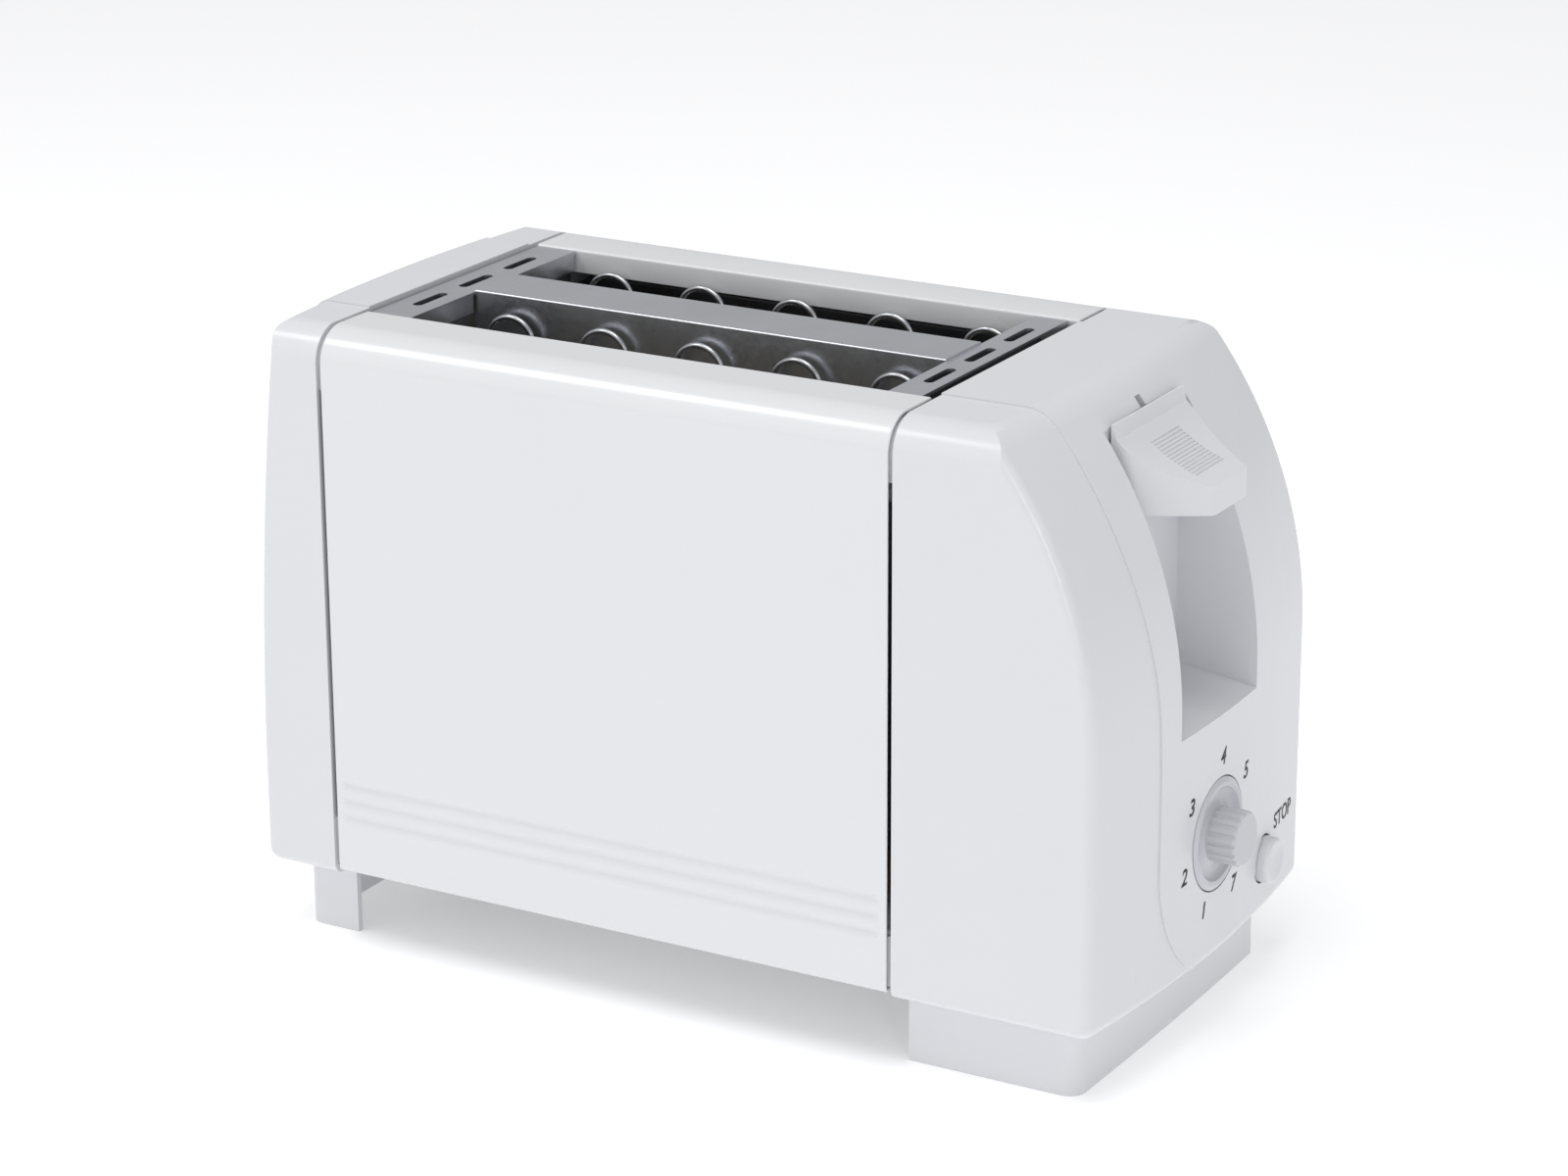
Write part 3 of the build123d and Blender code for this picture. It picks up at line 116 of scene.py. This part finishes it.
# ---------------------------------------------------------------- moulded white plastic
# The end caps, bases, lever knob, dial and button are injection moulded in one white plastic with a
# satin gloss.  Its surface has a very faint moulded ripple and small changes of gloss.  The dial gets a
# greyer tint: painted shade, standing in for the shade that falls on its fluted sides.
class Socket:
    """A node's output that Python's arithmetic can use."""

    def __init__(self, finish, link):
        self.finish = finish
        self.link = link

    def maths(self, operation, *values):
        return self.finish.add("ShaderNodeMath", {"operation": operation}, values)

    def __add__(self, other):
        return self.maths("ADD", self, other)

    def __radd__(self, other):
        return self.maths("ADD", other, self)

    def __sub__(self, other):
        return self.maths("SUBTRACT", self, other)

    def __rsub__(self, other):
        return self.maths("SUBTRACT", other, self)

    def __mul__(self, other):
        return self.maths("MULTIPLY", self, other)

    def __rmul__(self, other):
        return self.maths("MULTIPLY", other, self)


class Finish:
    """A material under construction."""

    def __init__(self, name, **constants):
        self.material = bpy.data.materials.new(name)
        self.material.use_nodes = True
        self.tree = self.material.node_tree
        self.shader = self.tree.nodes["Principled BSDF"]
        for socket, value in constants.items():
            self.shader.inputs[socket.replace("_", " ")].default_value = value

    def add(self, kind, settings=None, values=(), output=0):
        """Adds a node, sets its settings, fills its inputs, and gives one of its outputs."""
        node = self.tree.nodes.new(kind)
        for key, value in (settings or {}).items():
            setattr(node, key, value)
        items = values.items() if isinstance(values, dict) else enumerate(values)
        for key, value in items:
            if isinstance(value, Socket):
                self.tree.links.new(value.link, node.inputs[key])
            else:
                node.inputs[key].default_value = value
        return Socket(self, node.outputs[output])

    def place(self, scale=(1, 1, 1)):
        """Object coordinates in metres, scaled."""
        point = self.add("ShaderNodeTexCoord", output="Object")
        return self.add("ShaderNodeMapping", values={"Vector": point, "Scale": scale})

    def noise(self, where, scale, detail=3.0, roughness=0.5):
        """Noise from 0 to 1 whose features are about 1/scale metres."""
        return self.add(
            "ShaderNodeTexNoise",
            values={"Vector": where, "Scale": scale, "Detail": detail, "Roughness": roughness},
        )

    def blend(self, share, first, second):
        """Colour mixed from first to second, both as red, green and blue."""
        return self.add(
            "ShaderNodeMix",
            {"data_type": "RGBA"},
            {"Factor": share, 6: (*first, 1), 7: (*second, 1)},
            output=2,
        )

    def into(self, socket, value):
        """Feeds one of the shader's inputs."""
        self.tree.links.new(value.link, self.shader.inputs[socket])

    def bump(self, height, strength, depth):
        """Gives the surface a relief of that depth in metres."""
        bumped = self.add(
            "ShaderNodeBump", values={"Height": height, "Strength": strength, "Distance": depth}
        )
        self.into("Normal", bumped)


def white_moulding(name, tint):
    """White styrene plastic, faintly clouded, with a moulded ripple."""
    finish = Finish(name, IOR=1.49)
    where = finish.place()
    cloud = finish.noise(where, 28.0, 4.0)
    shade = tuple(c * 0.985 for c in tint)
    finish.into("Base Color", finish.blend(cloud, shade, tint))
    finish.into("Roughness", 0.24 + (finish.noise(where, 160.0) - 0.5) * 0.08)
    finish.bump(finish.noise(where, 900.0, 2.0), 0.12, 0.00003)
    return finish.material


def apply_modifier(piece, kind, **settings):
    """Adds one modifier to the active piece, sets it and applies it."""
    modifier = piece.modifiers.new(kind.lower(), kind)
    for key, value in settings.items():
        setattr(modifier, key, value)
    bpy.ops.object.modifier_apply(modifier=modifier.name)


same_point = 0.000002


def smooth_copy(node, name, body, material, angle=28.0):
    """A copy of a CAD node with its triangles joined, so that its curved faces shade smoothly."""
    piece = bpy.data.objects.new(name, frame["nodes"][node].data.copy())
    bpy.context.scene.collection.objects.link(piece)
    bpy.ops.object.select_all(action="DESELECT")
    piece.select_set(True)
    bpy.context.view_layer.objects.active = piece
    if piece.data.has_custom_normals:
        bpy.ops.mesh.customdata_custom_splitnormals_clear()
    bpy.ops.object.mode_set(mode="EDIT")
    bpy.ops.mesh.select_all(action="SELECT")
    bpy.ops.mesh.remove_doubles(threshold=same_point)
    flat_within = math.radians(0.2)
    bpy.ops.mesh.dissolve_limited(angle_limit=flat_within)
    bpy.ops.object.mode_set(mode="OBJECT")
    bpy.ops.object.shade_smooth_by_angle(angle=math.radians(angle))
    apply_modifier(piece, "WEIGHTED_NORMAL", keep_sharp=True)
    piece.data.materials.clear()
    piece.data.materials.append(material)
    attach(piece, body)
    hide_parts(node)
    return piece


moulding = white_moulding("white_moulding", (0.71, 0.715, 0.738))
# The dial's greyer tint is painted shade, not a different plastic batch.
dial_painted_shade_moulding = white_moulding("dial_painted_shade_moulding", (0.56, 0.57, 0.60))
shells = {}
for node, name, body, material in (
    ("right_end_cap", "right_end_cap_shell", "housing", moulding),
    ("left_end_cap", "left_end_cap_shell", "housing", moulding),
    ("right_base", "right_base_shell", "housing", moulding),
    ("left_base", "left_base_shell", "housing", moulding),
    ("lever_knob", "lever_knob_cap", "carriage", moulding),
    ("browning_dial", "browning_dial_knob", "dial", dial_painted_shade_moulding),
    ("stop_button", "stop_button_cap", "stop_button", moulding),
):
    shells[node] = smooth_copy(node, name, body, material)


# ---------------------------------------------------------------- side panels
# Two wraps of sheet steel with baked white enamel.  Each is bent over the top, hemmed down at the slot
# opening, turned in at the foot, and pressed with three soft grooves low down.
enamel = Finish("white_enamel", IOR=1.5, Coat_Weight=0.25, Coat_Roughness=0.12)
where = enamel.place()
cloud = enamel.noise(where, 20.0)
enamel.into("Base Color", enamel.blend(cloud, (0.715, 0.722, 0.738), (0.735, 0.742, 0.758)))
enamel.into("Roughness", 0.24 + (enamel.noise(where, 120.0) - 0.5) * 0.06)
enamel.bump(enamel.noise(where, 420.0, 2.0), 0.10, 0.00004)


def cut_across(point, normal):
    """Divides every face that a plane passes through."""
    bpy.ops.mesh.select_all(action="SELECT")
    bpy.ops.mesh.bisect(plane_co=point, plane_no=normal)


def select_points(piece, wanted):
    """In edit mode, selects just the points whose place satisfies a test."""
    mesh = bmesh.from_edit_mesh(piece.data)
    bpy.ops.mesh.select_all(action="DESELECT")
    for point in mesh.verts:
        point.select = wanted(point.co)
    mesh.select_flush(True)
    bmesh.update_edit_mesh(piece.data)


sheet = 0.0008
top_bend = 0.010
foot_bend = 0.0012
hem_bend = 0.0009
hem_depth = 0.007
turn_in = 0.007
groove_heights = (0.0393, 0.0442, 0.0491)
groove_depth = 0.0007
groove_reach = 0.0021
groove_end = 0.0035
row_pitch = 0.00035
opening_half = 0.043
low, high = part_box("front_side_panel")
bpy.ops.object.select_all(action="DESELECT")
quarter = math.radians(90)
face_low = low.z + foot_bend
face_high = high.z - top_bend
bpy.ops.mesh.primitive_plane_add(
    size=1,
    location=((low.x + high.x) / 2, low.y, (face_low + face_high) / 2),
    rotation=(quarter, 0, 0),
)
panel = bpy.context.object
panel.name = "front_side_panel_sheet"
panel.scale = (high.x - low.x, face_high - face_low, 1)
bpy.ops.object.transform_apply(location=True, rotation=True, scale=True)
bpy.ops.object.mode_set(mode="EDIT")
first_row = groove_heights[0] - groove_reach
rows = int((groove_heights[-1] + groove_reach - first_row) / row_pitch)
for row in range(rows + 1):
    cut_across((0, 0, first_row + row * row_pitch), (0, 0, 1))
for inset in (0.0006, 0.0014, 0.0022, 0.0030, 0.0038, 0.0048, 0.0060):
    cut_across((low.x + inset, 0, 0), (1, 0, 0))
    cut_across((high.x - inset, 0, 0), (1, 0, 0))
for height in groove_heights:
    line = first_row + round((height - first_row) / row_pitch) * row_pitch
    left, right = low.x + groove_end, high.x - groove_end
    select_points(panel, lambda p: abs(p.z - line) < row_pitch / 3 and left < p.x < right)
    bpy.ops.transform.translate(
        value=(0, groove_depth, 0),
        use_proportional_edit=True,
        proportional_edit_falloff="SMOOTH",
        proportional_size=groove_reach,
    )
edge_band = 0.00001
select_points(panel, lambda p: p.z > face_high - edge_band)
bpy.ops.mesh.spin(steps=14, angle=quarter, center=(0, low.y + top_bend, face_high), axis=(1, 0, 0))
top_run = -opening_half - hem_bend - (low.y + top_bend)
bpy.ops.mesh.extrude_region_move(TRANSFORM_OT_translate={"value": (0, top_run, 0)})
hem_centre = (0, -opening_half - hem_bend, high.z - hem_bend)
bpy.ops.mesh.spin(steps=5, angle=quarter, center=hem_centre, axis=(1, 0, 0))
bpy.ops.mesh.extrude_region_move(TRANSFORM_OT_translate={"value": (0, 0, hem_bend - hem_depth)})
select_points(panel, lambda p: p.z < face_low + edge_band)
bpy.ops.mesh.spin(steps=5, angle=-quarter, center=(0, low.y + foot_bend, face_low), axis=(1, 0, 0))
bpy.ops.mesh.extrude_region_move(TRANSFORM_OT_translate={"value": (0, turn_in - foot_bend, 0)})
bpy.ops.mesh.select_all(action="SELECT")
bpy.ops.mesh.remove_doubles(threshold=same_point)
bpy.ops.mesh.normals_make_consistent(inside=False)
bpy.ops.object.mode_set(mode="OBJECT")
front_faces = [f for f in panel.data.polygons if abs(f.normal.y) > 0.9 and f.center.y < low.y + 0.001]
if sum(f.normal.y * f.area for f in front_faces) > 0:
    bpy.ops.object.mode_set(mode="EDIT")
    bpy.ops.mesh.flip_normals()
    bpy.ops.object.mode_set(mode="OBJECT")
apply_modifier(panel, "SOLIDIFY", thickness=sheet, offset=-1, use_even_offset=True)
apply_modifier(
    panel, "BEVEL", width=0.0003, segments=3, limit_method="ANGLE", angle_limit=math.radians(60)
)
bpy.ops.object.shade_smooth_by_angle(angle=math.radians(40))
apply_modifier(panel, "WEIGHTED_NORMAL", keep_sharp=True)
panel.data.materials.append(enamel.material)

bpy.ops.object.duplicate()
rear = bpy.context.object
rear.name = "rear_side_panel_sheet"
rear.scale = (1, -1, 1)
bpy.ops.object.transform_apply(location=False, rotation=False, scale=True)
bpy.ops.object.mode_set(mode="EDIT")
bpy.ops.mesh.select_all(action="SELECT")
bpy.ops.mesh.normals_make_consistent(inside=False)
bpy.ops.object.mode_set(mode="OBJECT")
for piece, node in ((panel, "front_side_panel"), (rear, "rear_side_panel")):
    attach(piece, "housing")
    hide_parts(node)


# ---------------------------------------------------------------- other finishes
# The plate, frame, racks and guards are bare rolled steel with a fine grain, the heater cards mica, and
# the controls ordinary laminate, copper, brass and rubber.  Every piece of the frame gets its own.
def metal(name, colour, rough):
    """Bare metal, rolled along the toaster, a little darker in patches."""
    finish = Finish(name, Metallic=1.0)
    where = finish.place()
    grain = finish.noise(finish.place((900, 60, 900)), 1.0, 3.0)
    dark = tuple(c * 0.8 for c in colour)
    finish.into("Base Color", finish.blend(finish.noise(where, 45.0), dark, colour))
    finish.into("Roughness", rough + (grain - 0.5) * 0.2)
    finish.bump(grain, 0.12, 0.00003)
    return finish.material


def moulded(name, colour, rough):
    """Pressed or moulded stuff with a fine grain, a little darker in patches."""
    finish = Finish(name)
    where = finish.place()
    dark = tuple(c * 0.85 for c in colour)
    finish.into("Base Color", finish.blend(finish.noise(where, 80.0), dark, colour))
    finish.into("Roughness", rough + (finish.noise(where, 300.0) - 0.5) * 0.1)
    finish.bump(finish.noise(where, 1500.0, 2.0), 0.15, 0.00005)
    return finish.material


finishes = {
    "steel_trim": metal("rolled_steel", (0.70, 0.72, 0.76), 0.32),
    # The frame steel's dark grey is partly its own tone and partly painted shade that darkens the slot interiors.
    "frame_steel": metal("frame_steel", (0.38, 0.39, 0.42), 0.38),
    "wire_steel": metal("wire_steel", (0.55, 0.56, 0.58), 0.30),
    "magnet_iron": metal("soft_iron", (0.34, 0.34, 0.35), 0.4),
    "copper_winding": metal("copper_wire", (0.62, 0.32, 0.16), 0.35),
    "mica": moulded("mica_sheet", (0.55, 0.50, 0.42), 0.35),
    "heating_ribbon": metal("heating_ribbon", (0.25, 0.23, 0.22), 0.5),
    "circuit_board": moulded("board_laminate", (0.10, 0.28, 0.15), 0.4),
    "component_body": moulded("component_black", (0.04, 0.04, 0.045), 0.45),
    "contact_brass": metal("spring_brass", (0.72, 0.58, 0.30), 0.3),
    "zinc_screws": metal("zinc_plate", (0.60, 0.61, 0.62), 0.35),
    "black_rubber": moulded("black_rubber", (0.03, 0.03, 0.03), 0.6),
    "white_plastic": moulding,
    "white_paint": enamel.material,
}
slot_of = {entry["node"]: entry["material_slot"] for entry in frame["record"]["subparts"]}
for name, node in frame["nodes"].items():
    node.data.materials.clear()
    node.data.materials.append(finishes[slot_of[name]])


# ---------------------------------------------------------------- lift spring
# The coil round the guide rod stands on the lower shelf.  A smooth-shaded copy of it is made with a
# mesh of its own; it is not shortened by the lever's travel.
lever = next(joint for joint in frame["joints"] if joint["name"] == "lever_slide")
travel = max(lever["range_m"]) - min(lever["range_m"])
low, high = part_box("lift_spring")
wire = finishes["wire_steel"]
coil = smooth_copy("lift_spring", "lift_spring_coil", "housing", wire, angle=40.0)
1 - travel / (high.z - low.z)
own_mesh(coil)


# ---------------------------------------------------------------- printed marks
# The browning numbers round the dial and the word by the button are pad-printed in black ink, a thin
# film that lies on the end cap.
ink = moulded("print_ink", (0.015, 0.015, 0.018), 0.45)
dial_low, dial_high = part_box("browning_dial")
dial_y = (dial_low.y + dial_high.y) / 2
dial_z = (dial_low.z + dial_high.z) / 2
ring = 0.0214
ink_depth = 0.00005
marks = [("STOP", "stop_word", 0.0508, 0.0453, 0.0064, 0.0)]
for number, angle in enumerate((203.5, 254, 307, 4.7, 55.6, 103, 149.7), start=1):
    turn_by = math.radians(angle)
    marks.append((
        str(number),
        f"browning_number_{number}",
        dial_y + ring * math.sin(turn_by),
        dial_z + ring * math.cos(turn_by),
        0.0066,
        0.2,
    ))
for word, name, y, z, size, slant in marks:
    bpy.ops.object.text_add(location=(dial_high.x, y, z), rotation=(quarter, 0, quarter))
    mark = bpy.context.object
    mark.name = name
    mark.data.body = word
    mark.data.size = size
    mark.data.shear = slant
    mark.data.offset = 0.0001
    mark.data.align_x = "CENTER"
    mark.data.align_y = "CENTER"
    bpy.ops.object.convert(target="MESH")
    mark = bpy.context.object
    bpy.ops.object.transform_apply(location=True, rotation=True, scale=True)
    apply_modifier(
        mark,
        "SHRINKWRAP",
        target=shells["right_end_cap"],
        wrap_method="PROJECT",
        use_project_x=True,
        use_project_y=False,
        use_project_z=False,
        use_positive_direction=False,
        use_negative_direction=True,
        offset=0.00002,
    )
    apply_modifier(mark, "SOLIDIFY", thickness=ink_depth, offset=1)
    mark.data.materials.clear()
    mark.data.materials.append(ink)
    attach(mark, "housing")


# ---------------------------------------------------------------- floor finish
# The sweep is matt white card with a faint cloud, lit a little from behind so that it stays white.
floor_finish = Finish(
    "pale_floor", Roughness=0.6, Emission_Color=(1, 1, 1, 1), Emission_Strength=0.32
)
cloud = floor_finish.noise(floor_finish.place(), 3.0)
floor_finish.into("Base Color", floor_finish.blend(cloud, (0.90, 0.90, 0.91), (0.92, 0.92, 0.93)))
floor.data.materials.append(floor_finish.material)
